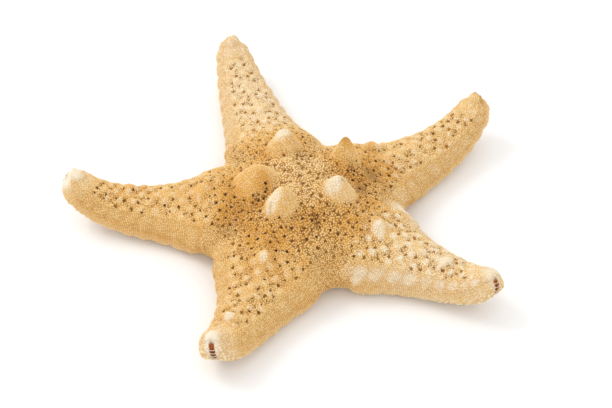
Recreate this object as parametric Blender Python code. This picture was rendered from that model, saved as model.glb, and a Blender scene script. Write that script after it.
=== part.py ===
# Dried knobbly sea star, about 120 mm across, lying on its flat underside.
# One natural piece: a domed disc that runs out into five blunt arms with curled tips.

import math
from collections import namedtuple

import bmesh
import bpy
import numpy as np
from mathutils import Vector

# Sizes are in millimetres and angles in degrees; MM turns them into metres.
MM = 0.001
UP = Vector((0.0, 0.0, 1.0))

# Heights above the surface that the star lies on
DISC_HEIGHT = 20.0
ARM_ROOT_HEIGHT = 12.8
ARM_TIP_HEIGHT = 7.7
RIM_HEIGHT = 4.3
DOME_START = 6.0
DOME_END = 30.0
TAPER_START = 25.0

# Roundness of the cross-section: 1 is a roof, 2 an ellipse, more is boxier
DISC_ROUNDNESS = 1.7
ARM_ROUNDNESS = 1.95
UNDERSIDE_ROUNDNESS = 3.0
SOLE_SHARE = 0.45
ROUNDNESS_START = 8.0
ROUNDNESS_END = 32.0

# Distance from the disc's centre where an arm starts to swing sideways, curl up and twist
FREE_START = 26.0
CURL_SHARPNESS = 2.6

# The arms, anticlockwise from the front right one. A notch is on its arm's left side, and is
# the distance from the disc's centre to the web between that arm and the next one. A twist turns
# the end of an arm about its own line, so that its groove faces more to the left of the arm.
Arm = namedtuple(
    "Arm",
    "heading length bend curl twist notch root_left root_right tip_left tip_right tip_round")
ARMS = (
    Arm(-30.5, 66.2, -6.0, 67.8, -14.4, 30.4, 9.7, 7.3, 3.9, 4.2, 6.3),
    Arm(30.9, 70.0, 15.0, 72.0, -0.9, 24.5, 8.2, 11.3, 3.9, 4.2, 7.6),
    Arm(108.9, 69.9, -1.8, 67.0, -1.4, 27.0, 12.1, 11.1, 4.0, 4.0, 7.1),
    Arm(179.2, 71.8, -13.1, 81.8, 1.1, 29.3, 9.9, 8.9, 4.2, 3.8, 7.2),
    Arm(248.9, 62.1, -4.2, 73.8, 25.0, 28.4, 9.3, 7.8, 4.2, 4.2, 6.5),
)

# The big knob near the root of each arm, in the same order
Knob = namedtuple("Knob", "distance turn height radius bluntness")
KNOBS = (
    Knob(11.8, 9.0, 5.4, 5.0, 0.6),
    Knob(15.5, 4.1, 7.8, 4.4, 0.4),
    Knob(12.6, -2.0, 6.4, 5.4, 0.8),
    Knob(11.6, 4.0, 4.5, 6.2, 1.2),
    Knob(10.8, -4.0, 6.0, 4.9, 1.1),
)
KNOB_FLARE = 1.25

# Smaller knobs that follow along the ridge of each arm, in the same order
RIDGE_KNOBS = (
    (Knob(24.5, 0.0, 1.9, 3.2, 1.0), Knob(36.0, 0.0, 0.6, 2.8, 1.0), Knob(46.5, 0.0, 1.4, 2.8, 1.0)),
    (Knob(26.0, 8.5, 2.0, 3.0, 0.6), Knob(37.0, 0.0, 0.6, 2.8, 1.0), Knob(48.0, 0.0, 0.8, 2.6, 1.0)),
    (Knob(35.0, 0.0, 0.5, 2.8, 1.0), Knob(47.0, 0.0, 0.6, 2.6, 1.0)),
    (Knob(25.5, 0.0, 1.8, 3.0, 0.8), Knob(36.0, 0.0, 0.6, 2.8, 1.0), Knob(48.0, -2.4, 1.4, 2.6, 1.0)),
    (Knob(24.5, 0.0, 1.7, 3.2, 1.0), Knob(36.0, 0.0, 0.6, 2.8, 1.0), Knob(47.0, 0.0, 1.5, 2.8, 1.0)),
)

# Plates: lumps over the back, blocks along the rim, and one blunt cone that closes each arm's end
PLATE_PITCH = 4.8
BACK_LUMP = 0.3
BACK_LUMP_START = 18.0
SMOOTH_TIP = 16.0
RIM_BLOCK = 0.45
RIM_BLOCK_MEAN = 0.64
RIM_BLOCK_EDGE = 0.74
END_PLATE_HEIGHT = 1.3
END_PLATE_RADIUS = 2.8
END_PLATE_INSET = 0.4
END_PLATE_BLUNTNESS = 0.6

# Underside: a groove along each arm to its tip, and the mouth where the grooves meet
GROOVE_DEPTH = 1.6
GROOVE_END_DEPTH = 1.2
GROOVE_HALF = 1.5
GROOVE_END_HALF = 0.9
GROOVE_INSET = 0.4
GROOVE_FADE = 1.2
MOUTH_DEPTH = 2.6
MOUTH_RADIUS = 4.6
MOUTH_FLOOR = 1.6

# Where the disc's centre stands from the middle of the star's bounding box
DISC_FROM_MIDDLE = (4.94, -4.31)

# The webs between the arms are eased in steps, each within a narrower strip than the last
WEB_START = 12.0
WEB_STRIPS = (7.0, 5.5, 4.0, 3.0, 2.0)
WEB_PASSES = 6

# Sampling of the surface before it is thinned out
CENTRELINE_POINTS = 200
DISC_ROWS = 14
ARM_ROWS = 46
ROW_CROWDING = 1.7
BACK_COLUMNS = 14
UNDERSIDE_COLUMNS = 10
MERGE_DISTANCE = 0.002
KEPT_SHARE = 0.345

BONE_COLOUR = (0.68, 0.46, 0.21, 1.0)
BONE_ROUGHNESS = 0.85


def smooth(low, high, value):
    """Rise from 0 to 1 between low and high, level at both ends."""
    share = np.clip((value - low) / (high - low), 0.0, 1.0)
    return share * share * (3.0 - 2.0 * share)


def cone(distance, radius, bluntness):
    """A cone with a blunt top and a foot that flares into the surface around it."""
    share = distance / radius
    drop = np.hypot(share, bluntness) - bluntness
    drop /= math.hypot(1.0, bluntness) - bluntness
    return np.clip(1.0 - drop, 0.0, 1.0) ** KNOB_FLARE


def centreline(arm):
    """The line along the middle of an arm's sole, with its side and up directions."""
    along = np.linspace(0.0, arm.length, CENTRELINE_POINTS)
    free = np.clip((along - FREE_START) / (arm.length - FREE_START), 0.0, 1.0)
    swing = math.radians(arm.bend) * smooth(0.0, 1.0, free)
    curl = math.radians(arm.curl) * free ** CURL_SHARPNESS
    forward = np.stack((np.cos(swing) * np.cos(curl), np.sin(swing) * np.cos(curl), np.sin(curl)), 1)
    side = np.stack((-np.sin(swing), np.cos(swing), np.zeros_like(swing)), 1)
    steps = (forward[1:] + forward[:-1]) / 2.0 * np.diff(along)[:, None]
    points = np.vstack((np.zeros(3), np.cumsum(steps, 0)))
    twist = (math.radians(arm.twist) * free ** CURL_SHARPNESS)[:, None]
    side = side * np.cos(twist) + np.cross(forward, side) * np.sin(twist)
    return along, points, side, np.cross(forward, side)


def ridge_height(along, length):
    """Height of the ridge above the sole: the dome of the disc, then the tapering arm."""
    taper = np.clip((along - TAPER_START) / (length - TAPER_START), 0.0, 1.0)
    arm_height = ARM_ROOT_HEIGHT + (ARM_TIP_HEIGHT - ARM_ROOT_HEIGHT) * taper
    away = smooth(DOME_START, DOME_END, along)
    return DISC_HEIGHT * (1.0 - away) + arm_height * away


def outline(arm, half_gap, notch, root_along, side, out):
    """Places over half an arm: rows from the disc's centre to the tip, columns out to the rim.

    Out holds each column's share of the way from the ridge to the rim.
    Returns how far along and across the arm each place is, how near to the rim it is (0 on the
    ridge, 1 on the rim), how much of the full height the rounded end of the arm leaves, and how
    far round the rim from the notch its row ends.
    """
    root, tip = (arm.root_left, arm.tip_left) if side > 0 else (arm.root_right, arm.tip_right)
    notch_along = notch * math.cos(half_gap)
    notch_across = notch * math.sin(half_gap)

    disc = np.sin(np.linspace(0.0, math.pi / 2.0, DISC_ROWS + 1))[:-1, None]
    disc_along = disc * ((1.0 - out) * root_along + out * notch_along)
    disc_across = disc * out * notch_across
    crest = 1.0 - disc ** 4
    disc_edge = disc * (out * (1.0 - crest) + np.sin(out * math.pi / 2.0) * crest)

    reach = 1.0 - (1.0 - np.linspace(0.0, 1.0, ARM_ROWS + 1)[:, None]) ** ROW_CROWDING
    ridge_along = root_along + reach * (arm.length - root_along)
    rim_along = notch_along + reach * (arm.length - notch_along)
    arm_along = (1.0 - out) * ridge_along + out * rim_along
    spare = notch_across - root
    narrowing = (root - tip) / (arm.length - notch_along)
    fade = spare / (1.0 / math.tan(half_gap) - narrowing)
    half = root + (tip - root) * reach + spare * np.exp((notch_along - rim_along) / fade)
    into_end = np.clip(1.0 - (arm.length - ridge_along) / arm.tip_round, 0.0, 1.0)
    left = np.sqrt(1.0 - into_end ** 2)

    rim_half = half * left
    rim_steps = np.hypot(np.diff(rim_along, axis=0), np.diff(rim_half, axis=0))
    round_rim = np.vstack((np.zeros((DISC_ROWS + 1, 1)), np.cumsum(rim_steps, axis=0)))

    along = np.vstack((disc_along, arm_along))
    across = side * np.vstack((disc_across, rim_half * out))
    edge = np.vstack((disc_edge, np.ones_like(reach) * out))
    height_left = np.vstack((np.ones_like(disc), left)) * np.ones_like(out)
    return along, across, edge, height_left, round_rim * np.ones_like(out)


def knob_height(along, across, knob, heading=0.0):
    """How much a knob raises the surface, where its arm heads away from this one."""
    turn = math.radians(knob.turn + heading)
    knob_along = knob.distance * math.cos(turn)
    knob_across = knob.distance * math.sin(turn)
    distance = np.hypot(along - knob_along, across - knob_across)
    return knob.height * cone(distance, knob.radius, knob.bluntness)


def half_arm(arm, half_gap, notch, root_along, side, back):
    """Points over half an arm, on its back or underside, and what is known of each.

    Relief raises a point along the surface's normal and lift raises it straight up, once the
    surface has been eased near the web line, whose distance is web.
    """
    columns = BACK_COLUMNS if back else UNDERSIDE_COLUMNS
    out = np.sin(np.linspace(0.0, math.pi / 2.0, columns + 1))[None, :]
    if not back:
        out = out ** 2
    along, across, edge, left, round_rim = outline(arm, half_gap, notch, root_along, side, out)
    if back:
        share = smooth(ROUNDNESS_START, ROUNDNESS_END, along)
        roundness = DISC_ROUNDNESS + (ARM_ROUNDNESS - DISC_ROUNDNESS) * share
        full = ridge_height(along, arm.length) - RIM_HEIGHT
        slope = edge
    else:
        roundness = UNDERSIDE_ROUNDNESS
        full = -RIM_HEIGHT
        slope = np.clip((edge - SOLE_SHARE) / (1.0 - SOLE_SHARE), 0.0, 1.0)
    height = RIM_HEIGHT + full * left * (1.0 - slope ** roundness) ** (1.0 / roundness)
    lift = np.zeros_like(along)
    if back:
        for knob, owner in zip(KNOBS, ARMS):
            lift = lift + knob_height(along, across, knob, owner.heading - arm.heading)
        relief = back_relief(arm, along, across, edge)
    else:
        relief = underside_relief(arm, along, across, edge)
    relief = relief + rim_blocks(round_rim, edge)

    line, *parts = centreline(arm)
    place, sideways, up = (
        np.stack([np.interp(along, line, part[:, axis]) for axis in range(3)], -1)
        for part in parts)
    grid = place + across[..., None] * sideways + height[..., None] * up
    web = np.abs(along * math.sin(half_gap) - np.abs(across) * math.cos(half_gap))
    web = np.where(along < WEB_START, np.inf, web)
    turn = math.radians(arm.heading)
    spin = np.array(((math.cos(turn), math.sin(turn), 0.0),
                     (-math.sin(turn), math.cos(turn), 0.0),
                     (0.0, 0.0, 1.0)))
    return grid @ spin, {"relief": relief, "lift": lift, "web": web}


def back_relief(arm, along, across, edge):
    """Lumps over the back of the arms, and the plate that closes each arm's end."""
    wave = 2.0 * math.pi / PLATE_PITCH
    lumps = BACK_LUMP * np.cos(wave * along) * np.cos(wave * across)
    lumps *= smooth(BACK_LUMP_START, DOME_END, along) * (1.0 - edge ** 4)
    lumps *= 1.0 - smooth(arm.length - SMOOTH_TIP, arm.length - arm.tip_round, along)
    for knob in RIDGE_KNOBS[ARMS.index(arm)]:
        lumps += knob_height(along, across, knob)
    end = np.hypot(along - arm.length + END_PLATE_INSET, across)
    return lumps + END_PLATE_HEIGHT * cone(end, END_PLATE_RADIUS, END_PLATE_BLUNTNESS)


def underside_relief(arm, along, across, edge):
    """The groove along the arm, which the mouth at the disc's centre opens into."""
    share = along / arm.length
    half = GROOVE_HALF + (GROOVE_END_HALF - GROOVE_HALF) * share
    depth = GROOVE_DEPTH + (GROOVE_END_DEPTH - GROOVE_DEPTH) * share
    end = arm.length - GROOVE_INSET
    inside = (1.0 - smooth(end - GROOVE_FADE, end, along)) * (1.0 - edge ** 8)
    groove = depth * (1.0 - smooth(0.0, half, np.abs(across))) * inside
    mouth = MOUTH_DEPTH * (1.0 - smooth(MOUTH_FLOOR, MOUTH_RADIUS, np.hypot(along, across)))
    return -np.maximum(groove, mouth)


def rim_blocks(round_rim, edge):
    """Swollen plates with grooves between them, one after another along the rim."""
    swell = np.abs(np.cos(math.pi * round_rim / PLATE_PITCH))
    return RIM_BLOCK * (swell - RIM_BLOCK_MEAN) * smooth(RIM_BLOCK_EDGE, 1.0, edge)


def add_grid(mesh, grid, facts, outward):
    """Adds one grid of points with their facts to the mesh, with faces that look outward."""
    rows, columns = grid.shape[:2]
    verts = [mesh.verts.new(point) for point in grid.reshape(-1, 3)]
    for name, values in facts.items():
        layer = mesh.verts.layers.float[name]
        for vert, value in zip(verts, values.ravel()):
            vert[layer] = value
    for row in range(rows - 1):
        for column in range(columns - 1):
            first = row * columns + column
            corners = [first, first + columns, first + columns + 1, first + 1]
            if not outward:
                corners.reverse()
            mesh.faces.new([verts[corner] for corner in corners])


def star_mesh():
    """The whole star in millimetres: twenty half-arm grids merged into one closed surface."""
    mesh = bmesh.new()
    for name in ("relief", "lift", "web"):
        mesh.verts.layers.float.new(name)
    for index, arm in enumerate(ARMS):
        left_arm = ARMS[(index + 1) % len(ARMS)]
        right_arm = ARMS[index - 1]
        left_gap = math.radians((left_arm.heading - arm.heading) % 360.0) / 2.0
        right_gap = math.radians((arm.heading - right_arm.heading) % 360.0) / 2.0
        root_along = (arm.notch * math.cos(left_gap) + right_arm.notch * math.cos(right_gap)) / 2.0
        for side, half_gap, notch in ((1, left_gap, arm.notch), (-1, right_gap, right_arm.notch)):
            for back in (True, False):
                grid, facts = half_arm(arm, half_gap, notch, root_along, side, back)
                add_grid(mesh, grid, facts, (side > 0) == back)
    bmesh.ops.remove_doubles(mesh, verts=mesh.verts, dist=MERGE_DISTANCE)
    return mesh


def ease_webs(mesh):
    """Rounds the valley where two arms meet, most along its middle."""
    web = mesh.verts.layers.float["web"]
    for width in WEB_STRIPS:
        strip = [vert for vert in mesh.verts if vert[web] < width]
        for _ in range(WEB_PASSES):
            bmesh.ops.smooth_vert(
                mesh, verts=strip, factor=0.5, use_axis_x=True, use_axis_y=True, use_axis_z=True)


def raise_relief(mesh):
    """Moves every point by its relief along the normal and by its lift straight up."""
    relief = mesh.verts.layers.float["relief"]
    lift = mesh.verts.layers.float["lift"]
    mesh.normal_update()
    raised = [vert.co + vert.normal * vert[relief] + UP * vert[lift] for vert in mesh.verts]
    for vert, place in zip(mesh.verts, raised):
        vert.co = place


def bone_material():
    """Dry, sandy bone all over."""
    material = bpy.data.materials.new("dry_bone")
    material.use_nodes = True
    shader = material.node_tree.nodes["Principled BSDF"]
    shader.inputs["Base Color"].default_value = BONE_COLOUR
    shader.inputs["Roughness"].default_value = BONE_ROUGHNESS
    shader.inputs["Metallic"].default_value = 0.0
    return material


def make_starfish():
    mesh = star_mesh()
    ease_webs(mesh)
    raise_relief(mesh)
    bmesh.ops.triangulate(mesh, faces=mesh.faces)
    offset = (*DISC_FROM_MIDDLE, 0.0)
    bmesh.ops.translate(mesh, verts=mesh.verts, vec=offset)
    bmesh.ops.scale(mesh, verts=mesh.verts, vec=(MM, MM, MM))
    data = bpy.data.meshes.new("starfish")
    mesh.to_mesh(data)
    mesh.free()
    data.shade_smooth()
    data.materials.append(bone_material())
    starfish = bpy.data.objects.new("starfish", data)
    bpy.context.scene.collection.objects.link(starfish)
    thinning = starfish.modifiers.new("thinning", "DECIMATE")
    thinning.ratio = KEPT_SHARE


for thing in list(bpy.data.objects):
    bpy.data.objects.remove(thing, do_unlink=True)
make_starfish()
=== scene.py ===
# Dried knobbly sea star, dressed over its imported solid: skin, pores, granules and groove spines.

import math
from collections import namedtuple

import bpy
import numpy as np
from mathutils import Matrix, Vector
from mathutils.bvhtree import BVHTree
from mathutils.kdtree import KDTree
from mathutils.noise import noise


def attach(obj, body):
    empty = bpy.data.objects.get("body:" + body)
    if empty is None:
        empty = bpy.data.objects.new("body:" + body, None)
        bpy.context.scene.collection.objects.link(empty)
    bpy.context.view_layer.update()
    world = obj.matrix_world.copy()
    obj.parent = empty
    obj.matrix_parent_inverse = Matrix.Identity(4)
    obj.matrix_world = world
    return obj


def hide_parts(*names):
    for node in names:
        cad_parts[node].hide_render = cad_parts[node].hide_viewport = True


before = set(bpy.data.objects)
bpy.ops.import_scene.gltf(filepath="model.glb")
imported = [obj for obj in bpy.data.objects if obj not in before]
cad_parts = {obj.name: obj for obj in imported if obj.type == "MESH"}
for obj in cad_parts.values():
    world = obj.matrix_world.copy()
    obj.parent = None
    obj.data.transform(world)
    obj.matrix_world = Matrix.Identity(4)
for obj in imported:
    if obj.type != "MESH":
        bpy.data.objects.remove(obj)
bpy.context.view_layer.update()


# The skin
# One sheet of small limy plates that grew together and dried hard over the whole animal. It is
# laid out as half-arm grids around the disc, joined into one closed surface, eased in the webs
# between the arms, and then raised into knobs, blocks and grooves.

# Sizes are in millimetres and angles in degrees; MM turns them into metres.
MM = 0.001

DISC_HEIGHT = 20.0
ARM_ROOT_HEIGHT = 12.8
ARM_TIP_HEIGHT = 7.7
RIM_HEIGHT = 4.3
DOME_START = 6.0
DOME_END = 30.0
TAPER_START = 25.0
DISC_ROUNDNESS = 1.7
ARM_ROUNDNESS = 1.95
UNDERSIDE_ROUNDNESS = 3.0
SOLE_SHARE = 0.45
ROUNDNESS_START = 8.0
ROUNDNESS_END = 32.0
FREE_START = 26.0
CURL_SHARPNESS = 2.6
DISC_FROM_MIDDLE = (4.94, -4.31)

# The arms, anticlockwise from the front right one. A twist turns the end of an arm about its own
# line, so that its groove faces more to the left of the arm.
Arm = namedtuple(
    "Arm",
    "name heading length bend curl twist notch root_left root_right tip_left tip_right tip_round")
ARMS = (
    Arm("front_right", -30.5, 66.2, -6.0, 67.8, -14.4, 30.4, 9.7, 7.3, 3.9, 4.2, 6.3),
    Arm("right", 30.9, 70.0, 15.0, 72.0, -0.9, 24.5, 8.2, 11.3, 3.9, 4.2, 7.6),
    Arm("back", 108.9, 69.9, -1.8, 67.0, -1.4, 27.0, 12.1, 11.1, 4.0, 4.0, 7.1),
    Arm("left", 179.2, 71.8, -13.1, 81.8, 1.1, 29.3, 9.9, 8.9, 4.2, 3.8, 7.2),
    Arm("front", 248.9, 62.1, -4.2, 73.8, 25.0, 28.4, 9.3, 7.8, 4.2, 4.2, 6.5),
)

# The big knob near the root of each arm, and the smaller ones along its ridge
Knob = namedtuple("Knob", "distance turn height radius bluntness")
KNOBS = (
    Knob(11.8, 9.0, 5.4, 5.0, 0.6),
    Knob(15.5, 4.1, 7.8, 4.4, 0.4),
    Knob(12.6, -2.0, 6.4, 5.4, 0.8),
    Knob(11.6, 4.0, 4.5, 6.2, 1.2),
    Knob(10.8, -4.0, 6.0, 4.9, 1.1),
)
KNOB_FLARE = 1.25
RIDGE_KNOBS = (
    (Knob(24.5, 0.0, 1.9, 3.2, 1.0), Knob(36.0, 0.0, 0.6, 2.8, 1.0), Knob(46.5, 0.0, 1.4, 2.8, 1.0)),
    (Knob(26.0, 8.5, 2.0, 3.0, 0.6), Knob(37.0, 0.0, 0.6, 2.8, 1.0), Knob(48.0, 0.0, 0.8, 2.6, 1.0)),
    (Knob(35.0, 0.0, 0.5, 2.8, 1.0), Knob(47.0, 0.0, 0.6, 2.6, 1.0)),
    (Knob(25.5, 0.0, 1.8, 3.0, 0.8), Knob(36.0, 0.0, 0.6, 2.8, 1.0), Knob(48.0, -2.4, 1.4, 2.6, 1.0)),
    (Knob(24.5, 0.0, 1.7, 3.2, 1.0), Knob(36.0, 0.0, 0.6, 2.8, 1.0), Knob(47.0, 0.0, 1.5, 2.8, 1.0)),
)

PLATE_PITCH = 4.8
BACK_LUMP = 0.3
BACK_LUMP_START = 18.0
SMOOTH_TIP = 16.0
RIM_BLOCK = 0.45
RIM_BLOCK_MEAN = 0.64
RIM_BLOCK_EDGE = 0.74
END_PLATE_HEIGHT = 1.3
END_PLATE_RADIUS = 2.8
END_PLATE_INSET = 0.4
END_PLATE_BLUNTNESS = 0.6
GROOVE_DEPTH = 1.6
GROOVE_END_DEPTH = 1.2
GROOVE_HALF = 1.5
GROOVE_END_HALF = 0.9
GROOVE_INSET = 0.4
GROOVE_FADE = 1.2
MOUTH_DEPTH = 2.6
MOUTH_RADIUS = 4.6
MOUTH_FLOOR = 1.6

WEB_START = 12.0
WEB_STRIPS = (7.0, 5.5, 4.0, 3.0, 2.0)
WEB_PASSES = 26
WEB_SHARE = 0.9
WEB_FILL = 1.2

# The grains stand on the skin, so it lies this far inside the solid
SKIN_INSET = 0.15
SOLE_INSET = 0.24

CENTRELINE_POINTS = 400
DISC_ROWS = 52
ARM_ROWS = 118
ROW_CROWDING = 1.25
BACK_COLUMNS = 40
UNDERSIDE_COLUMNS = 16
SEAM_GAP = 0.02


def smooth(low, high, value):
    """Rise from 0 to 1 between low and high, level at both ends."""
    share = np.clip((value - low) / (high - low), 0.0, 1.0)
    return share * share * (3.0 - 2.0 * share)


def bump(distance, radius):
    """A rounded lump: 1 in its middle and 0 from its radius outwards."""
    return np.clip(1.0 - (distance / radius) ** 2, 0.0, 1.0) ** 2


def cone(distance, radius, bluntness):
    """A cone with a blunt top and a foot that flares into the surface around it."""
    share = distance / radius
    drop = np.hypot(share, bluntness) - bluntness
    drop /= math.hypot(1.0, bluntness) - bluntness
    return np.clip(1.0 - drop, 0.0, 1.0) ** KNOB_FLARE


def centreline(arm):
    """The line along the middle of an arm's sole, with its side and up directions."""
    along = np.linspace(0.0, arm.length, CENTRELINE_POINTS)
    free = np.clip((along - FREE_START) / (arm.length - FREE_START), 0.0, 1.0)
    swing = math.radians(arm.bend) * smooth(0.0, 1.0, free)
    curl = math.radians(arm.curl) * free ** CURL_SHARPNESS
    forward = np.stack((np.cos(swing) * np.cos(curl), np.sin(swing) * np.cos(curl), np.sin(curl)), 1)
    side = np.stack((-np.sin(swing), np.cos(swing), np.zeros_like(swing)), 1)
    steps = (forward[1:] + forward[:-1]) / 2.0 * np.diff(along)[:, None]
    points = np.vstack((np.zeros(3), np.cumsum(steps, 0)))
    twist = (math.radians(arm.twist) * free ** CURL_SHARPNESS)[:, None]
    side = side * np.cos(twist) + np.cross(forward, side) * np.sin(twist)
    return along, points, side, np.cross(forward, side)


def ridge_height(along, length):
    """Height of the ridge above the sole: the dome of the disc, then the tapering arm."""
    taper = np.clip((along - TAPER_START) / (length - TAPER_START), 0.0, 1.0)
    arm_height = ARM_ROOT_HEIGHT + (ARM_TIP_HEIGHT - ARM_ROOT_HEIGHT) * taper
    away = smooth(DOME_START, DOME_END, along)
    return DISC_HEIGHT * (1.0 - away) + arm_height * away


def outline(arm, half_gap, notch, root_along, side, out):
    """Places over half an arm: rows from the disc's centre to the tip, columns out to the rim."""
    root, tip = (arm.root_left, arm.tip_left) if side > 0 else (arm.root_right, arm.tip_right)
    notch_along = notch * math.cos(half_gap)
    notch_across = notch * math.sin(half_gap)

    disc = np.linspace(0.0, 1.0, DISC_ROWS + 1)[:-1, None]
    disc_along = disc * ((1.0 - out) * root_along + out * notch_along)
    disc_across = disc * out * notch_across
    crest = 1.0 - disc ** 4
    disc_edge = disc * (out * (1.0 - crest) + np.sin(out * math.pi / 2.0) * crest)

    reach = 1.0 - (1.0 - np.linspace(0.0, 1.0, ARM_ROWS + 1)[:, None]) ** ROW_CROWDING
    ridge_along = root_along + reach * (arm.length - root_along)
    rim_along = notch_along + reach * (arm.length - notch_along)
    arm_along = (1.0 - out) * ridge_along + out * rim_along
    spare = notch_across - root
    narrowing = (root - tip) / (arm.length - notch_along)
    fade = spare / (1.0 / math.tan(half_gap) - narrowing)
    half = root + (tip - root) * reach + spare * np.exp((notch_along - rim_along) / fade)
    into_end = np.clip(1.0 - (arm.length - ridge_along) / arm.tip_round, 0.0, 1.0)
    left = np.sqrt(1.0 - into_end ** 2)

    rim_half = half * left
    rim_steps = np.hypot(np.diff(rim_along, axis=0), np.diff(rim_half, axis=0))
    round_rim = np.vstack((np.zeros((DISC_ROWS + 1, 1)), np.cumsum(rim_steps, axis=0)))

    along = np.vstack((disc_along, arm_along))
    across = side * np.vstack((disc_across, rim_half * out))
    edge = np.vstack((disc_edge, np.ones_like(reach) * out))
    height_left = np.vstack((np.ones_like(disc), left)) * np.ones_like(out)
    return along, across, edge, height_left, round_rim * np.ones_like(out)


def knob_distance(along, across, knob, heading=0.0):
    """Distance from a knob's middle, where its arm heads away from this one."""
    turn = math.radians(knob.turn + heading)
    return np.hypot(along - knob.distance * math.cos(turn), across - knob.distance * math.sin(turn))


def back_relief(arm, along, across, edge):
    """Lumps over the back of the arms, and the plate that closes each arm's end."""
    wave = 2.0 * math.pi / PLATE_PITCH
    lumps = BACK_LUMP * np.cos(wave * along) * np.cos(wave * across)
    lumps *= smooth(BACK_LUMP_START, DOME_END, along) * (1.0 - edge ** 4)
    lumps *= 1.0 - smooth(arm.length - SMOOTH_TIP, arm.length - arm.tip_round, along)
    for knob in RIDGE_KNOBS[ARMS.index(arm)]:
        away = knob_distance(along, across, knob)
        lumps += knob.height * cone(away, knob.radius, knob.bluntness)
    end = np.hypot(along - arm.length + END_PLATE_INSET, across)
    return lumps + END_PLATE_HEIGHT * cone(end, END_PLATE_RADIUS, END_PLATE_BLUNTNESS)


def groove_half(arm, along):
    """Half the groove's width, which narrows towards the arm's end."""
    return GROOVE_HALF + (GROOVE_END_HALF - GROOVE_HALF) * along / arm.length


def underside_relief(arm, along, across, edge):
    """The groove along the arm, which the mouth at the disc's centre opens into."""
    half = groove_half(arm, along)
    depth = GROOVE_DEPTH + (GROOVE_END_DEPTH - GROOVE_DEPTH) * along / arm.length
    end = arm.length - GROOVE_INSET
    inside = (1.0 - smooth(end - GROOVE_FADE, end, along)) * (1.0 - edge ** 8)
    groove = depth * (1.0 - smooth(0.0, half, np.abs(across))) * inside
    mouth = MOUTH_DEPTH * (1.0 - smooth(MOUTH_FLOOR, MOUTH_RADIUS, np.hypot(along, across)))
    return -np.maximum(groove, mouth)


def rim_blocks(round_rim, edge):
    """Swollen plates with grooves between them, one after another along the rim."""
    swell = np.abs(np.cos(math.pi * round_rim / PLATE_PITCH))
    return RIM_BLOCK * (swell - RIM_BLOCK_MEAN) * smooth(RIM_BLOCK_EDGE, 1.0, edge)


# Each arm's share of the pale tone, of the orange tone, and of the pale tone on its knob, on its
# plates, on the blocks along its rim and at its end; and how far its slit gapes
Tones = namedtuple("Tones", "pale warm knob plates rim end slit")
ARM_TONES = (
    Tones(0.45, 0.05, 0.35, 0.90, 1.00, 0.60, 1.0),
    Tones(0.25, 0.20, 0.05, 0.45, 0.40, 0.05, 1.0),
    Tones(0.55, 0.00, 0.20, 0.60, 0.30, 0.10, 1.0),
    Tones(0.15, 0.40, 0.15, 0.40, 0.25, 0.80, 0.0),
    Tones(0.20, 0.40, 0.20, 0.40, 0.30, 0.85, 1.0),
)

# In the pairs and fours below, a share rises or falls from one value to the next. They are
# distances from the disc's centre, or for those named EDGE or BAND the way from ridge to rim,
# which is 1 at the rim.
DISC_SPAN = (16.0, 36.0)
DISC_WARM = 0.60
CENTRE_RADIUS = 13.0
CENTRE_PALE = 0.25
CENTRE_WARM = 0.15
ARM_SKIN = (18.0, 26.0)

# The closing plate of each arm, and the pale skin around it, from the arm's very end
END_SPAN = (1.68, 4.2)
END_HALO = 0.6
HALO_END = 13.0
BARE_SPAN = (1.05, 2.52)
BARE_SHARE = 0.8

# The plates on the back, and the blocks along the rim
PLATE_TOP = (0.05, 0.65)
PLATE_EDGE = (0.60, 0.70)
BLOCK_BAND = (0.62, 0.74, 0.90, 0.97)
BLOCK_MIDDLE = 0.82
BLOCK_SHIFT = 0.03
BLOCK_TALL = 0.15
BLOCK_LONG = 2.4
BLOCK_SQUARENESS = 2.5
BLOCK_FADE = (0.2, 1.1)
BLOCK_LEAST = 0.7
BLOCK_TURN = 2.3
ARM_TURN = 1.7
SEAM_PALE = 0.5
SEAM_WARM = 0.3
SIDE_COOL = 0.7
SIDE_COOL_EDGE = (0.55, 0.75)
# Painted shade: a darker orange along the lower rim of the back, which is turned down from the light
RIM_PAINTED_SHADE = 0.3
RIM_PAINTED_SHADE_EDGE = (0.93, 0.99)

# The bands of pores on the arms, and the pores all over the disc
PORE_BAND = (0.05, 0.13, 0.55, 0.70)
DISC_PORES = (20.0, 28.0)
DISC_PORE_EDGE = (0.68, 0.84)
CENTRE_PORES_LOST = 0.6
PORES_BEFORE_END = (13.0, 7.0)
PORES_BY_KNOB = (1.2, 2.2)

# The knobs, in parts of their radius
KNOB_FOOT = (0.70, 1.15)
KNOB_WARM = 0.35
KNOB_SMOOTH = 0.5

# How much the grains leave open; the skin left open is painted darker there, as dust and painted shade
GAP_LEAST = 0.55
GAP_MORE = 0.45
GAP_BY_PORES = 0.6
GAP_SPAN = (14.0, 28.0)
GAP_AT_SIDE = 0.25
GAP_LOST_PALE = 0.45
GAP_LOST_KNOB = 0.4
SIDE_EDGE = (0.60, 0.72)
SIDE_SPAN = (8.0, 16.0)

# The underside, its grooves in parts of their half width, and the lips of the slits at the ends
UNDER_GAP = 0.5
UNDER_PALE = 0.3
UNDER_EDGE = (1.0, 0.9)
GROOVE_SIDE = (0.6, 1.05)
MOUTH_SPAN = (2.0, 4.0)
SLIT_BEFORE_END = (12.0, 8.0)
LIP_BEFORE_END = (8.0, 4.0)
LIP_HALF = 0.9
CLOSED_LIP_HALF = 2.6


def within(limits, value):
    """Rises over the first two limits and falls over the last two."""
    return smooth(limits[0], limits[1], value) * (1.0 - smooth(limits[2], limits[3], value))


def towards_end(limits, arm, along):
    """Rises from 0 to 1 between two distances from the arm's end."""
    return smooth(arm.length - limits[0], arm.length - limits[1], along)


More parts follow.
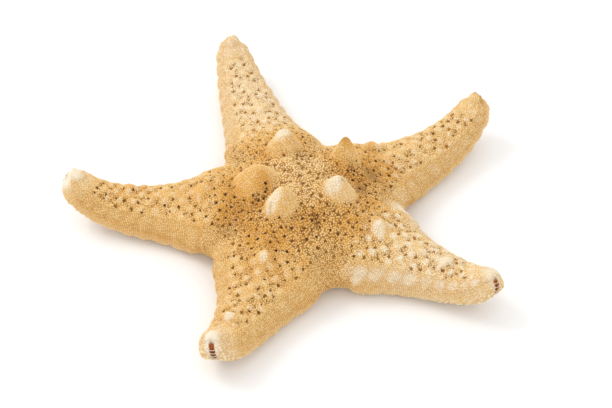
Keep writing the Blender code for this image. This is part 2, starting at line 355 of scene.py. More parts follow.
def block_marks(index, side, edge, round_rim):
    """The share of each rim block at each place, which differs from block to block."""
    number = np.round(round_rim / PLATE_PITCH)
    chance = 0.5 + 0.5 * np.sin(number * BLOCK_TURN + index * ARM_TURN + side)
    off_block = (round_rim - PLATE_PITCH * number) / BLOCK_LONG
    off_middle = (edge - BLOCK_MIDDLE - BLOCK_SHIFT * chance) / BLOCK_TALL
    off = np.abs(off_block) ** BLOCK_SQUARENESS + np.abs(off_middle) ** BLOCK_SQUARENESS
    return (1.0 - smooth(*BLOCK_FADE, off)) * (BLOCK_LEAST + (1.0 - BLOCK_LEAST) * chance)


def back_marks(index, side, along, across, edge, round_rim, centre, facts):
    """Adds the plates, rim blocks, pores and knobs of the back to what is known."""
    arm, tones, pale, warm = ARMS[index], ARM_TONES[index], facts["pale"], facts["warm"]
    on_arm = smooth(*ARM_SKIN, along)
    wave = 2.0 * math.pi / PLATE_PITCH
    lumps = np.cos(wave * along) * np.cos(wave * across)
    plates = smooth(*PLATE_TOP, lumps) * on_arm * (1.0 - smooth(*PLATE_EDGE, edge))
    pale = np.maximum(pale, tones.plates * plates)

    block = block_marks(index, side, edge, round_rim)
    band = within(BLOCK_BAND, edge) * on_arm
    pale = np.maximum(pale, tones.rim * np.maximum(block * on_arm, SEAM_PALE * band))
    warm = warm * (1.0 - SIDE_COOL * smooth(*SIDE_COOL_EDGE, edge)) + SEAM_WARM * band * (1.0 - block)
    # Painted shade along the lower rim, as a darker orange
    warm = warm + RIM_PAINTED_SHADE * smooth(*RIM_PAINTED_SHADE_EDGE, edge)

    pore = within(PORE_BAND, edge) * (1.0 - plates)
    disc_pores = (1.0 - smooth(*DISC_PORES, along)) * (1.0 - smooth(*DISC_PORE_EDGE, edge))
    pore = np.maximum(pore, disc_pores * (1.0 - CENTRE_PORES_LOST * centre))
    pore = pore * (1.0 - towards_end(PORES_BEFORE_END, arm, along))

    knobs = np.zeros_like(along)
    for knob, owner, knob_tones in zip(KNOBS, ARMS, ARM_TONES):
        away = knob_distance(along, across, knob, owner.heading - arm.heading) / knob.radius
        body = 1.0 - smooth(*KNOB_FOOT, away)
        knobs = np.maximum(knobs, body)
        pale = np.maximum(pale, knob_tones.knob * body)
    pore = pore * (1.0 - knobs)
    warm = warm + (KNOB_WARM - warm) * knobs
    for knob in RIDGE_KNOBS[index]:
        pore = pore * smooth(*PORES_BY_KNOB, knob_distance(along, across, knob))

    gap = GAP_LEAST + GAP_MORE * np.maximum(pore * GAP_BY_PORES, 1.0 - smooth(*GAP_SPAN, along))
    gap = gap + GAP_AT_SIDE * smooth(*SIDE_EDGE, edge)
    gap = gap * (1.0 - GAP_LOST_PALE * pale) * (1.0 - GAP_LOST_KNOB * knobs)
    facts.update(
        pale=pale, warm=warm, pore=pore, gap=gap, smooth=KNOB_SMOOTH * knobs,
        side=smooth(*SIDE_EDGE, edge) * smooth(*SIDE_SPAN, along))


def under_marks(index, along, across, edge, facts):
    """Adds the grooves, the mouth and the lips of the slits to what is known."""
    arm, tones = ARMS[index], ARM_TONES[index]
    half = groove_half(arm, along)
    groove = 1.0 - smooth(*GROOVE_SIDE, np.abs(across) / half)
    groove = np.maximum(groove, 1.0 - smooth(*MOUTH_SPAN, np.hypot(along, across)))
    groove = groove * (1.0 - edge ** 8)
    groove = groove * (1.0 - (1.0 - tones.slit) * towards_end(SLIT_BEFORE_END, arm, along))
    lip_half = LIP_HALF + (CLOSED_LIP_HALF - LIP_HALF) * (1.0 - tones.slit)
    lip = 1.0 - smooth(lip_half, lip_half * 2.0, np.abs(across))
    lip = lip * towards_end(LIP_BEFORE_END, arm, along) * tones.end
    facts.update(
        pale=np.maximum(np.maximum(facts["pale"], lip), UNDER_PALE),
        bare=np.maximum(facts["bare"], lip), groove=groove,
        gap=np.full_like(along, UNDER_GAP), side=np.ones_like(along),
        under=smooth(*UNDER_EDGE, edge))


def marks(index, side, along, across, edge, round_rim, back):
    """What is known of each place on half an arm, for colour and for where the grains lie."""
    arm, tones = ARMS[index], ARM_TONES[index]
    disc = 1.0 - smooth(*DISC_SPAN, along)
    centre = 1.0 - smooth(CENTRE_RADIUS * 0.5, CENTRE_RADIUS, np.hypot(along, across))
    end = np.hypot(along - arm.length, across)
    pale = tones.pale * (1.0 - disc) + CENTRE_PALE * centre
    pale = np.maximum(pale, tones.end * (1.0 - smooth(*END_SPAN, end)))
    pale = np.maximum(pale, END_HALO * tones.end * (1.0 - smooth(END_SPAN[1], HALO_END, end)))
    facts = {name: np.zeros_like(along) for name in ("pore", "groove", "smooth", "under")}
    facts["round_rim"] = round_rim
    facts["pale"] = pale
    facts["warm"] = tones.warm + (DISC_WARM - tones.warm) * disc + (CENTRE_WARM - DISC_WARM) * centre
    facts["bare"] = BARE_SHARE * tones.end * (1.0 - smooth(*BARE_SPAN, end))
    if back:
        back_marks(index, side, along, across, edge, round_rim, centre, facts)
    else:
        under_marks(index, along, across, edge, facts)
    return facts


def turn_by(heading):
    """Turns points from an arm's own directions to its heading."""
    turn = math.radians(heading)
    return np.array(((math.cos(turn), math.sin(turn), 0.0),
                     (-math.sin(turn), math.cos(turn), 0.0),
                     (0.0, 0.0, 1.0)))


def half_arm(index, half_gap, notch, root_along, side, back):
    """Points over half an arm, on its back or underside, and what is known of each."""
    arm = ARMS[index]
    columns = BACK_COLUMNS if back else UNDERSIDE_COLUMNS
    out = np.sin(np.linspace(0.0, math.pi / 2.0, columns + 1))[None, :]
    if not back:
        out = out ** 2
    along, across, edge, left, round_rim = outline(arm, half_gap, notch, root_along, side, out)
    facts = marks(index, side, along, across, edge, round_rim, back)
    if back:
        share = smooth(ROUNDNESS_START, ROUNDNESS_END, along)
        roundness = DISC_ROUNDNESS + (ARM_ROUNDNESS - DISC_ROUNDNESS) * share
        full = ridge_height(along, arm.length) - RIM_HEIGHT
        slope = edge
    else:
        roundness = UNDERSIDE_ROUNDNESS
        full = -RIM_HEIGHT
        slope = np.clip((edge - SOLE_SHARE) / (1.0 - SOLE_SHARE), 0.0, 1.0)
    height = RIM_HEIGHT + full * left * (1.0 - slope ** roundness) ** (1.0 / roundness)
    lift = np.zeros_like(along)
    if back:
        for knob, owner in zip(KNOBS, ARMS):
            away = knob_distance(along, across, knob, owner.heading - arm.heading)
            lift = lift + knob.height * cone(away, knob.radius, knob.bluntness)
        relief = back_relief(arm, along, across, edge)
    else:
        relief = underside_relief(arm, along, across, edge)
    inset = SKIN_INSET + (SOLE_INSET - SKIN_INSET) * facts["under"]
    facts["relief"] = relief + rim_blocks(round_rim, edge) - inset
    facts["lift"] = lift

    line, *parts = centreline(arm)
    place, sideways, up = (
        np.stack([np.interp(along, line, part[:, axis]) for axis in range(3)], -1)
        for part in parts)
    grid = place + across[..., None] * sideways + height[..., None] * up
    web = np.abs(along * math.sin(half_gap) - np.abs(across) * math.cos(half_gap))
    facts["web"] = np.where(along < WEB_START, FAR_FROM_WEB, web)
    facts["arm"] = np.full_like(along, index)
    return grid @ turn_by(arm.heading), facts


def vertex_normals(points, triangles):
    """Each point's normal, from the faces around it by their area."""
    a, b, c = (points[triangles[:, corner]] for corner in range(3))
    faces = np.cross(b - a, c - a)
    total = np.stack([sum(np.bincount(triangles[:, corner], faces[:, axis], len(points))
                          for corner in range(3)) for axis in range(3)], 1)
    return total / np.linalg.norm(total, axis=1, keepdims=True)


def piece_from(name, points, triangles, layers, finish):
    """A smooth-shaded piece from points in millimetres, with a number per point in each layer."""
    mesh = bpy.data.meshes.new(name)
    mesh.vertices.add(len(points))
    mesh.vertices.foreach_set("co", (points * MM).ravel())
    mesh.loops.add(triangles.size)
    mesh.loops.foreach_set("vertex_index", triangles.astype(np.int32).ravel())
    mesh.polygons.add(len(triangles))
    mesh.polygons.foreach_set("loop_start", np.arange(0, triangles.size, 3, dtype=np.int32))
    mesh.update(calc_edges=True)
    mesh.shade_smooth()
    for layer, values in layers.items():
        mesh.attributes.new(layer, "FLOAT", "POINT").data.foreach_set("value", values)
    mesh.materials.append(finish.material)
    piece = bpy.data.objects.new(name, mesh)
    bpy.context.scene.collection.objects.link(piece)
    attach(piece, "root")
    return piece


class Value:
    """A number that varies over the surface; arithmetic on it adds Math nodes."""

    def __init__(self, finish, socket):
        self.finish = finish
        self.socket = socket

    def maths(self, operation, first, second):
        return self.finish.node("Math", {"operation": operation}, {0: first, 1: second})

    def __add__(self, other):
        return self.maths("ADD", self, other)

    def __sub__(self, other):
        return self.maths("SUBTRACT", self, other)

    def __rsub__(self, other):
        return self.maths("SUBTRACT", other, self)

    def __mul__(self, other):
        return self.maths("MULTIPLY", self, other)

    __radd__ = __add__
    __rmul__ = __mul__

    def between(self, low, high):
        """Rises from 0 to 1 as this value goes from low to high."""
        settings = {"interpolation_type": "SMOOTHSTEP"}
        values = {"Value": self, "From Min": low, "From Max": high}
        return self.finish.node("MapRange", settings, values)


class Finish:
    """A material under construction, and its Principled shader."""

    def __init__(self, name):
        self.material = bpy.data.materials.new(name)
        self.material.use_nodes = True
        self.tree = self.material.node_tree
        self.shader = self.tree.nodes["Principled BSDF"]

    def put(self, socket, value):
        """Sets a socket to a constant, or links it to a value."""
        if isinstance(value, Value):
            self.tree.links.new(value.socket, socket)
        else:
            socket.default_value = value

    def node(self, kind, settings=None, values=None, output=0):
        """Adds a node, with its settings first, and returns one of its outputs."""
        node = self.tree.nodes.new("ShaderNode" + kind)
        for name, setting in (settings or {}).items():
            setattr(node, name, setting)
        for name, value in (values or {}).items():
            self.put(node.inputs[name], value)
        return Value(self, node.outputs[output])

    def mark(self, name):
        """A number that each point of the mesh carries."""
        return self.node("Attribute", {"attribute_name": name}, output="Fac")

    def mottle(self, size, detail=2.0):
        """Soft noise with lumps of about this size in millimetres, from 0 to 1."""
        place = self.node("TexCoord", output="Object")
        values = {"Vector": place, "Scale": 1.0 / (size * MM), "Detail": detail}
        return self.node("TexNoise", None, values, "Fac").between(0.3, 0.7)

    def blend(self, share, first, second):
        """A colour between two colours."""
        return self.node("Mix", {"data_type": "RGBA"}, {0: share, 6: first, 7: second}, 2)

    def end(self, colour, roughness, height, distance):
        """Joins the colour, the roughness and a bump of this depth to the shader."""
        values = {"Strength": 1.0, "Distance": distance * MM, "Height": height}
        self.put(self.shader.inputs["Base Color"], colour)
        self.put(self.shader.inputs["Roughness"], roughness)
        self.put(self.shader.inputs["Normal"], self.node("Bump", None, values))


def tone(red, green, blue):
    """A shader colour from the everyday 0 to 255 scale."""
    shares = [level / 255.0 for level in (red, green, blue)]
    return tuple(x / 12.92 if x <= 0.04045 else ((x + 0.055) / 1.055) ** 2.4 for x in shares) + (1.0,)


SAND = tone(242, 208, 140)
PALE = tone(242, 229, 201)
ORANGE = tone(227, 170, 74)
OCHRE = tone(192, 138, 62)
UMBER = tone(116, 70, 26)
RUST = tone(150, 76, 12)
CHALK = tone(246, 238, 222)
SOOT = tone(96, 76, 62)

# Patches in the colour of the bone, and how strongly they bring out its tones
BROAD_PATCH = 7.0
FINE_PATCH = 1.3
WARM_LEAST = 0.55
WARM_BY_BROAD = 0.9
PALE_LEAST = 0.55
PALE_BY_BROAD = 0.4
PALE_BY_FINE = 0.5
OCHRE_START = 0.8
OCHRE_SHARE = 0.45
STAIN_LEAST = 0.4
STAIN_BY_FINE = 0.4

# Darker skin around the pores, as painted shade of their dents, and between the grains of the disc, as
# dust and painted shade
PORE_SHADE_RING = 0.6
DEEP_GAP = 0.6
DEEP_DUST_AND_SHADE_SHARE = 0.4

SKIN_ROUGHNESS = 0.78
ROUGHNESS_SWING = 0.15
ROUGHNESS_PATCH = 0.8
SKIN_TEXTURE = 0.35
SKIN_TEXTURE_DETAIL = 4.0
SKIN_TEXTURE_DEPTH = 0.10


def bone_colour(finish):
    """The colour of the bone: sand, with paler and more orange parts that run into each other."""
    broad = finish.mottle(BROAD_PATCH)
    fine = finish.mottle(FINE_PATCH)
    warm = finish.mark("warm") * (broad * WARM_BY_BROAD + WARM_LEAST)
    pale = finish.mark("pale") * (fine * PALE_BY_FINE + broad * PALE_BY_BROAD + PALE_LEAST)
    colour = finish.blend(warm.between(0.0, 1.0), SAND, ORANGE)
    colour = finish.blend((warm - OCHRE_START).between(0.0, 1.0) * OCHRE_SHARE, colour, OCHRE)
    colour = finish.blend(pale.between(0.0, 1.0), colour, PALE)
    colour = finish.blend(finish.mark("bare") * finish.mark("pale"), colour, CHALK)
    return finish.blend(finish.mark("stain") * (STAIN_LEAST + fine * STAIN_BY_FINE), colour, SOOT)


def bone_roughness(finish, least):
    """A dry surface, a little rougher in patches."""
    return finish.mottle(ROUGHNESS_PATCH) * ROUGHNESS_SWING + least


skin_finish = Finish("dried_skin")
# Dust and painted shade: the skin between the grains turns ochre, and umber where they leave it most
# open; around the pores it turns umber as painted shade of their dents
dust_and_shade_between_grains = skin_finish.mark("gap") * (1.0 - skin_finish.mark("bare"))
skin_colour = skin_finish.blend(dust_and_shade_between_grains, bone_colour(skin_finish), OCHRE)
skin_colour = skin_finish.blend(skin_finish.mark("near_pore") * PORE_SHADE_RING, skin_colour, UMBER)
deep_dust_and_shade = (skin_finish.mark("gap") - DEEP_GAP).between(0.0, DEEP_GAP) * DEEP_DUST_AND_SHADE_SHARE
skin_colour = skin_finish.blend(deep_dust_and_shade, skin_colour, UMBER)
skin_colour = skin_finish.blend(skin_finish.mark("groove"), skin_colour, RUST)
skin_finish.end(
    skin_colour, bone_roughness(skin_finish, SKIN_ROUGHNESS),
    skin_finish.mottle(SKIN_TEXTURE, SKIN_TEXTURE_DETAIL), SKIN_TEXTURE_DEPTH)

# The half-arm grids, and their joining where they meet
FAR_FROM_WEB = 1.0e3
all_points, all_faces, all_edges, all_facts, all_borders = [], [], [], [], []
first = 0
for index, arm in enumerate(ARMS):
    left_arm = ARMS[(index + 1) % len(ARMS)]
    right_arm = ARMS[index - 1]
    left_gap = math.radians((left_arm.heading - arm.heading) % 360.0) / 2.0
    right_gap = math.radians((arm.heading - right_arm.heading) % 360.0) / 2.0
    webs = arm.notch * math.cos(left_gap), right_arm.notch * math.cos(right_gap)
    root_along = sum(webs) / 2.0
    for side, half_gap, notch in ((1, left_gap, arm.notch), (-1, right_gap, right_arm.notch)):
        for back in (True, False):
            notch_filled = notch + WEB_FILL
            grid, facts = half_arm(index, half_gap, notch_filled, root_along, side, back)
            number = first + np.arange(grid[..., 0].size).reshape(grid.shape[:2])
            first += number.size
            all_borders += [number[0], number[-1], number[:, 0], number[:, -1]]
            a, b, c, d = number[:-1, :-1], number[1:, :-1], number[1:, 1:], number[:-1, 1:]
            faces = np.stack((a, b, c, a, c, d), -1).reshape(-1, 3)
            all_faces.append(faces if (side > 0) == back else faces[:, ::-1])
            all_edges.append(np.stack((number[:-1].ravel(), number[1:].ravel()), 1))
            all_edges.append(np.stack((number[:, :-1].ravel(), number[:, 1:].ravel()), 1))
            all_points.append(grid.reshape(-1, 3))
            all_facts.append({name: values.ravel() for name, values in facts.items()})

loose = np.vstack(all_points)
borders = np.unique(np.concatenate(all_borders))
seams = KDTree(len(borders))
for number in borders:
    seams.insert(loose[number], number)
seams.balance()
same = np.arange(len(loose))
for number in borders:
    same[number] = min(other for _, other, _ in seams.find_range(loose[number], SEAM_GAP))
chosen, merged = np.unique(same, return_inverse=True)
points = loose[chosen]
shared = np.bincount(merged)
facts = {name: np.concatenate([part[name] for part in all_facts]) for name in all_facts[0]}
facts = {name: np.bincount(merged, values) / shared if name != "arm" else values[chosen]
         for name, values in facts.items()}
triangles = merged[np.vstack(all_faces)]
a, b, c = triangles.T
triangles = triangles[(a != b) & (b != c) & (c != a)]
edges = np.unique(np.sort(merged[np.vstack(all_edges)], axis=1), axis=0)
edges = edges[edges[:, 0] != edges[:, 1]]

for width in WEB_STRIPS:
    strip = facts["web"] < width
    near = edges[strip[edges].any(axis=1)]
    ends = np.concatenate((near[:, 0], near[:, 1]))
    others = np.concatenate((near[:, 1], near[:, 0]))
    count = np.maximum(np.bincount(ends, minlength=len(points)), 1)[:, None]
    for _ in range(WEB_PASSES):
        total = np.stack([np.bincount(ends, points[others, axis], len(points))
                          for axis in range(3)], 1)
        points[strip] += WEB_SHARE * (total / count - points)[strip]

normals = vertex_normals(points, triangles)
points = points + normals * facts["relief"][:, None]
points[:, 2] += facts["lift"]

# Soft dents of the dried skin
DENT = 0.16
DENT_SIZE = 2.6
dents = np.array([noise(Vector(point) / DENT_SIZE) for point in points])
normals = vertex_normals(points, triangles)
points += normals * (DENT * dents * (1.0 - facts["under"]))[:, None]
normals = vertex_normals(points, triangles)

# Places that differ from what is around them, in millimetres from the disc's centre: worn white
# tops, orange tops and patches, dark stains, and pitted places with more and larger pores
Spot = namedtuple("Spot", "x y radius")
WORN = (Spot(-4.3, 11.8, 3.1), Spot(9.2, -5.0, 3.2), Spot(-6.5, -10.0, 3.2), Spot(-6.9, -11.2, 2.4),
        Spot(20.9, -13.6, 2.6), Spot(37.9, -22.6, 2.3), Spot(-17.5, -40.6, 2.0),
        Spot(-9.1, -23.5, 1.8))
ORANGE_TOPS = (Spot(12.9, 8.9, 2.0), Spot(-9.2, -3.2, 3.0))
ORANGE_PATCHES = (Spot(-10.9, -5.0, 6.5), Spot(-16.5, -6.5, 9.0), Spot(-9.0, -17.0, 7.0),
                  Spot(21.0, 12.6, 3.0), Spot(22.0, 8.0, 6.0), Spot(16.0, 2.0, 4.5),
                  Spot(-18.6, 54.6, 5.0), Spot(51.4, 33.2, 2.4))
STAINS = (Spot(16.6, -0.4, 3.2), Spot(19.6, 5.4, 3.4), Spot(11.5, -4.5, 0.9), Spot(11.9, 9.2, 1.5),
          Spot(49.9, 34.6, 1.5), Spot(-7.2, -11.0, 0.6), Spot(-7.3, -11.8, 0.7),
          Spot(-7.4, -12.6, 0.6))
PITTED = (Spot(4.1, -12.5, 2.8), Spot(-10.9, -6.4, 2.6), Spot(-8.4, -4.8, 1.8), Spot(0.6, 7.6, 2.4),
          Spot(15.0, 4.0, 3.0))


def near_spots(spots):
    """How near each point is to the middle of a spot: 1 there, and 0 outside all of them."""
    shares = [bump(np.hypot(points[:, 0] - spot.x, points[:, 1] - spot.y), spot.radius)
              for spot in spots]
    return np.max(shares, 0) * (1.0 - facts["under"])


WORN_SHARE = 0.75
WORN_FADE = (0.0, 0.6)
GAP_LOST_WORN = 0.5
PATCH_WARM = 0.75
TOP_WARM = 1.6
PATCH_PORES = 1.5
PITTED_PORES = 3.0

worn = WORN_SHARE * smooth(*WORN_FADE, near_spots(WORN))
facts["pale"] = facts["pale"] + (1.0 - facts["pale"]) * worn
facts["smooth"] = np.maximum(facts["smooth"], worn)
facts["gap"] = facts["gap"] * (1.0 - GAP_LOST_WORN * worn)
facts["pitted"] = near_spots(PITTED)
orange = near_spots(ORANGE_PATCHES)
facts["warm"] = facts["warm"] + PATCH_WARM * orange * (1.0 - facts["smooth"])
facts["warm"] = facts["warm"] + TOP_WARM * near_spots(ORANGE_TOPS)
facts["stain"] = near_spots(STAINS)
facts["pore"] = facts["pore"] * (1.0 - worn) * (1.0 + PATCH_PORES * orange)
facts["pore"] = np.maximum(facts["pore"], PITTED_PORES * facts["pitted"])


# The pores
# Small holes in the skin where soft gills stood out in life. They open in the hollows between the
# plates, in bands beside the ridges and all over the disc. Each is a dark floor in a dent, painted
# shade for the depth of the hole.

# Places are tried at random, more of them where the share of pores is high, and kept where it
# passes a chance. The pitch and the radius go from the smallest pore to the largest.
PORE_TRIES = 3200
PORE_CROWDING = 1.5
PORE_SMALLNESS = 1.3
PORE_PITCH = (1.0, 2.6)
PITTED_CROWDING = 0.55
PORE_CHANCE = (0.1, 0.35)
PORE_RADIUS = (0.15, 0.45)
PORE_DENT = 0.34
PORE_DENT_RADIUS = 0.75
PORE_RING_RADIUS = 1.1
PITTED_RING = 0.7
PORE_CELL = 1.0
NO_PORE_NEAR = 9.0
PORE_CORNERS = 8
PORE_UNEVENNESS = 0.2
PORE_TURN = 6.0
PORE_LIFT = 0.035
NEVER_ZERO = 1.0e-9
LEVEL_NORMAL = 0.05

random = np.random.default_rng(5)


def scatter(count, weight):
    """Places spread over the skin, more where the weight is high: faces and shares of corners."""
    a, b, c = (points[triangles[:, corner]] for corner in range(3))
    area = np.linalg.norm(np.cross(b - a, c - a), axis=1) * weight[triangles].mean(1)
    face = random.choice(len(triangles), count, p=area / area.sum())
    one, two = random.random((2, count))
    over = one + two > 1.0
    one[over], two[over] = 1.0 - one[over], 1.0 - two[over]
    return face, np.stack((1.0 - one - two, one, two), 1)


def over_skin(values, face, shares):
    """The values of the skin's points at scattered places."""
    corners = values[triangles[face]]
    return np.einsum("ij,ij...->i...", shares, corners)


def around(cells, x, y, z):
    """What is kept in one cell of a grid and in the cells around it."""
    return (other for i in (x - 1, x, x + 1) for j in (y - 1, y, y + 1)
            for k in (z - 1, z, z + 1) for other in cells.get((i, j, k), ()))


def spaced(places, gaps):
    """Numbers of the places that keep their gap from every one kept before them."""
    cell = gaps.max()
    kept, cells = [], {}
    for number, (place, gap) in enumerate(zip(places.tolist(), gaps.tolist())):
        x, y, z = (int(value // cell) for value in place)
        if all(math.dist(place, other) >= gap for other in around(cells, x, y, z)):
            cells.setdefault((x, y, z), []).append(place)
            kept.append(number)
    return np.array(kept)


def uneven(swing, shape):
    """Random shares around 1, up to this swing above and below it."""
    return 1.0 - swing + 2.0 * swing * random.random(shape)


def upright(normal):
    """Two directions along the surface, for each normal."""
    across = np.cross(normal, (0.0, 0.0, 1.0))
    across[np.linalg.norm(across, axis=1) < LEVEL_NORMAL] = (1.0, 0.0, 0.0)
    across /= np.linalg.norm(across, axis=1, keepdims=True)
    return across, np.cross(normal, across)


face, shares = scatter(PORE_TRIES, facts["pore"] ** PORE_CROWDING + NEVER_ZERO)
spots = over_skin(points, face, shares)
pore_sizes = np.sort(random.random(PORE_TRIES) ** PORE_SMALLNESS)[::-1]
pore_gaps = np.interp(pore_sizes, (0.0, 1.0), PORE_PITCH)
pore_gaps = pore_gaps * (1.0 - PITTED_CROWDING * over_skin(facts["pitted"], face, shares))
kept = spaced(spots, pore_gaps)
face, shares, spots, pore_sizes = face[kept], shares[kept], spots[kept], pore_sizes[kept]
pore_share = over_skin(facts["pore"], face, shares)
inside = pore_share > PORE_CHANCE[0] + PORE_CHANCE[1] * random.random(len(pore_share))
face, shares, spots, pore_sizes = face[inside], shares[inside], spots[inside], pore_sizes[inside]
pore_normals = over_skin(normals, face, shares)
pore_warm = over_skin(facts["warm"], face, shares)
pore_radii = np.interp(pore_sizes, (0.0, 1.0), PORE_RADIUS)

pore_cells = {}
for number, spot in enumerate(spots):
    pore_cells.setdefault(tuple((spot // PORE_CELL).astype(int)), []).append(number)


def pore_gap(places):
    """For each place, how far it is from the nearest pore's rim, and from its middle."""
    rims = np.full(len(places), NO_PORE_NEAR)
    middles = np.full(len(places), NO_PORE_NEAR)
    for number, place in enumerate(places):
        close = list(around(pore_cells, *(place // PORE_CELL).astype(int)))
        if close:
            away = np.linalg.norm(spots[close] - place, axis=1)
            rims[number] = (away - pore_radii[close]).min()
            middles[number] = away.min()
    return rims, middles


_, to_middle = pore_gap(points)
points -= normals * (PORE_DENT * bump(to_middle, PORE_DENT_RADIUS))[:, None]
normals = vertex_normals(points, triangles)
# Painted shade around each pore's dent and over the pitted places, for the skin and for the beads'
# feet
facts["near_pore"] = np.maximum(bump(to_middle, PORE_RING_RADIUS), PITTED_RING * facts["pitted"])

BONE_LAYERS = ("pale", "warm", "bare", "gap", "stain", "near_pore")
skin_layers = {name: facts[name] for name in (*BONE_LAYERS, "groove")}
offset = np.array((*DISC_FROM_MIDDLE, 0.0))
skin = piece_from("skin", points + offset, triangles, skin_layers, skin_finish)
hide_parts("starfish")

# The floors of the pores are painted shade of the holes over the skin's own tone: orange in the pale
# skin of the arms, and dark brown in the warm skin of the disc
PORE_SHADE_BROWN = tone(56, 28, 8)
PORE_ORANGE = tone(170, 116, 34)
PORE_LIGHT = 0.6
PORE_LIGHT_LOST = 0.9
PORE_PATCHES = 0.5
PORE_ROUGHNESS = 0.95
PORE_TEXTURE = 0.2
PORE_TEXTURE_DEPTH = 0.05

pore_finish = Finish("painted_pore_shade")
pore_shade = pore_finish.mottle(FINE_PATCH) * PORE_PATCHES + pore_finish.mark("light")
pore_finish.end(
    pore_finish.blend(pore_shade.between(0.0, 1.0), PORE_SHADE_BROWN, PORE_ORANGE), PORE_ROUGHNESS,
    pore_finish.mottle(PORE_TEXTURE), PORE_TEXTURE_DEPTH)

tree = BVHTree.FromPolygons(points.tolist(), triangles.tolist())
across, down = upright(pore_normals)
pore_points, pore_faces = [], []
for spot, normal, right, front, radius in zip(spots, pore_normals, across, down, pore_radii):
    start = len(pore_points)
    turns = np.linspace(0.0, 2.0 * math.pi, PORE_CORNERS, endpoint=False) + random.random() * PORE_TURN
    sizes = radius * uneven(PORE_UNEVENNESS, PORE_CORNERS)
    ring = spot + (np.cos(turns) * sizes)[:, None] * right + (np.sin(turns) * sizes)[:, None] * front
    for place in (spot, *ring):
        hit = tree.ray_cast(Vector(place + normal), Vector(-normal))[0]
        pore_points.append(np.array(hit if hit else place) + normal * PORE_LIFT)
    pore_faces += [(start, start + 1 + k, start + 1 + (k + 1) % PORE_CORNERS)
                   for k in range(PORE_CORNERS)]
pore_light = np.clip(PORE_LIGHT - PORE_LIGHT_LOST * pore_warm, 0.0, 1.0)
pore_light = np.repeat(pore_light, PORE_CORNERS + 1)
piece_from(
    "pores", np.array(pore_points) + offset, np.array(pore_faces), {"light": pore_light}, pore_finish)


# The granules
# Tiny limy beads that cover the skin all over, as coarse sand would. They leave bare the pores, the
# grooves and the plates that close the arms, and lie flatter on worn tops. Each arm's are one piece.

GRAIN_TRIES = 300000
GRAIN_PITCH = 0.44
DISC_PITCH = 0.50
DISC_GAP = (0.7, 1.0)
UNDER_PITCH = 0.72
PITCH_UNEVENNESS = 0.2

# On the sides of the arms the beads are finer, and stand in rows across the rim
SIDE_PITCH = 0.32
ROW_PITCH = 0.56
ROW_HALF = 0.10

PORE_CLEARANCE = 0.10
BARE_CLEARING = 1.4
MISSING_GRAINS = 0.04
PITTED_GRAINS = 0.2
GRAIN_TILT = 0.25

# A bead's width in parts of its gap, its height in parts of its width, and its shoulder
GRAIN_SPREAD = 0.68
SIDE_SPREAD = 0.64
WIDTH_UNEVENNESS = 0.1
GRAIN_HEIGHT = 0.60
HEIGHT_LEAST = 0.8
HEIGHT_SWING = 0.5
FLATTENING = 0.5
GRAIN_SINK = 0.25
GRAIN_CORNERS = 5
SHOULDER_WIDTH = 0.72
SHOULDER_HEIGHT = 0.68

# The beads' own tones, some chalky and some orange; and painted shade, which makes each bead browner
# at its foot
CHALKY_TINT = 0.5
CHALKY_SHARE = 0.2
ORANGE_TINT = 0.4
ORANGE_SHARE = 0.3
FOOT_SHADE_SHARE = 0.45
PORE_FOOT_SHADE_SHARE = 0.25
GRAIN_ROUGHNESS = 0.72
GRAIN_TEXTURE = 0.15
GRAIN_TEXTURE_DEPTH = 0.03

grain_finish = Finish("granules")
grain_tint = grain_finish.mark("tint")
chalky = (grain_tint - CHALKY_TINT).between(0.0, 1.0 - CHALKY_TINT) * CHALKY_SHARE
grain_colour = grain_finish.blend(chalky, bone_colour(grain_finish), CHALK)
orange_grains = (ORANGE_TINT - grain_tint).between(0.0, ORANGE_TINT) * ORANGE_SHARE
grain_colour = grain_finish.blend(orange_grains, grain_colour, ORANGE)
# Painted shade: each bead darkens to ochre towards its foot, more where the grains leave wide gaps,
# and beside the pores
foot = grain_finish.mark("low") * grain_finish.mark("gap") * FOOT_SHADE_SHARE
foot = (foot + grain_finish.mark("near_pore") * PORE_FOOT_SHADE_SHARE).between(0.0, 1.0)
grain_finish.end(
    grain_finish.blend(foot, grain_colour, OCHRE), bone_roughness(grain_finish, GRAIN_ROUGHNESS),
    grain_finish.mottle(GRAIN_TEXTURE), GRAIN_TEXTURE_DEPTH)

pitch = GRAIN_PITCH + (DISC_PITCH - GRAIN_PITCH) * smooth(*DISC_GAP, facts["gap"])
pitch = pitch + (SIDE_PITCH - pitch) * facts["side"]
pitch = pitch + (UNDER_PITCH - pitch) * facts["under"]
face, shares = scatter(GRAIN_TRIES, (1.0 - facts["bare"]) * (1.0 - facts["groove"]) / pitch ** 2)
grains = over_skin(points, face, shares)
side_share = over_skin(facts["side"], face, shares)
row_place = over_skin(facts["round_rim"], face, shares) / ROW_PITCH
off_row = np.abs(row_place - np.round(row_place))
in_row = off_row < 0.5 - (0.5 - ROW_HALF) * side_share
gaps = over_skin(pitch, face, shares) * uneven(PITCH_UNEVENNESS, GRAIN_TRIES)
clear = in_row & (pore_gap(grains)[0] > PORE_CLEARANCE)
face, shares, grains, gaps = face[clear], shares[clear], grains[clear], gaps[clear]
kept = spaced(grains, gaps)
face, shares, grains, gaps = face[kept], shares[kept], grains[kept], gaps[kept]
bare = over_skin(facts["bare"], face, shares) + over_skin(facts["groove"], face, shares)
missing = MISSING_GRAINS * smooth(*DISC_GAP, over_skin(facts["gap"], face, shares))
missing += PITTED_GRAINS * over_skin(facts["pitted"], face, shares)
shown = random.random(len(grains)) > bare * BARE_CLEARING + missing
face, shares, grains, gaps = face[shown], shares[shown], grains[shown], gaps[shown]
grain_normals = over_skin(normals, face, shares)
grain_normals += GRAIN_TILT * (random.random(grain_normals.shape) - 0.5)
grain_normals /= np.linalg.norm(grain_normals, axis=1, keepdims=True)
grain_facts = {name: over_skin(facts[name], face, shares) for name in BONE_LAYERS}
grain_arm = facts["arm"][triangles[face][:, 0]].astype(int)

